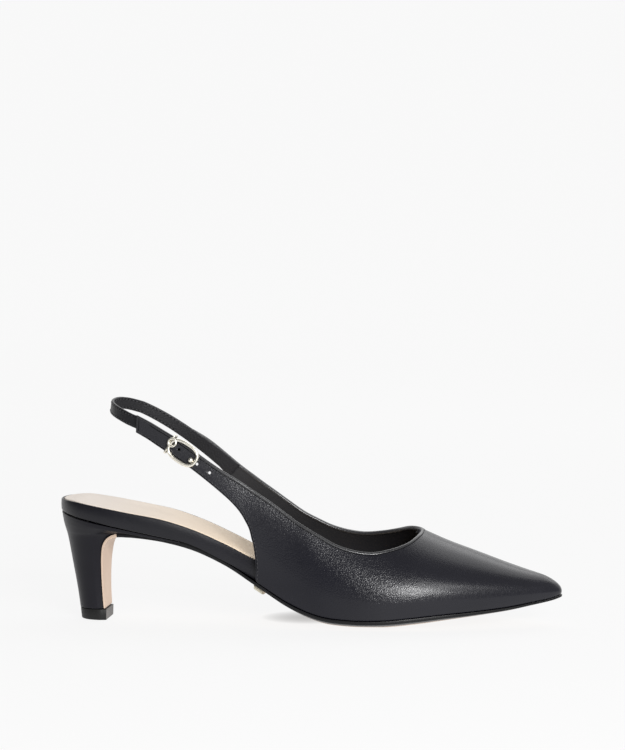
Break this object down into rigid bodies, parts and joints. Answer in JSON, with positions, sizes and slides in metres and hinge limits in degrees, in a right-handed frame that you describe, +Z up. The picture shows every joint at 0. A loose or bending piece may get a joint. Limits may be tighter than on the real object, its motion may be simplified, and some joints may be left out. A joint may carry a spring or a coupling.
{
  "type": "slingback pump",
  "caption": "Right slingback pump in smooth black leather, with an almond toe, cut-away sides, a buckled strap round the back of the ankle and a tapered mid heel.",
  "frame": {"origin": "centre of the heel's top piece, where it stands on the floor", "axes": "+X to the toe, +Y to the wearer's left, which is the shoe's inner side, +Z up; the soles stand on z = 0"},
  "size_m": [0.2546, 0.0775, 0.1126],
  "materials": {
    "black_leather": "satin smooth leather",
    "strap_leather": "satin smooth leather",
    "rim_leather": "satin smooth leather",
    "heel_leather": "satin smooth leather",
    "sock_leather": "matte smooth leather",
    "sole_leather": "matte sole leather",
    "top_piece_rubber": "matte",
    "pale_gold": "polished, pale gold plated"
  },
  "bodies": {
    "root": {"upper": "black_leather", "sling_strap": "strap_leather", "buckle_frame": "pale_gold", "buckle_prong": "pale_gold", "insole_board": "rim_leather", "insole_sock": "sock_leather", "outsole": "sole_leather", "heel_block": "heel_leather", "top_piece": "top_piece_rubber", "waist_plate": "pale_gold"}
  },
  "joints": []
}
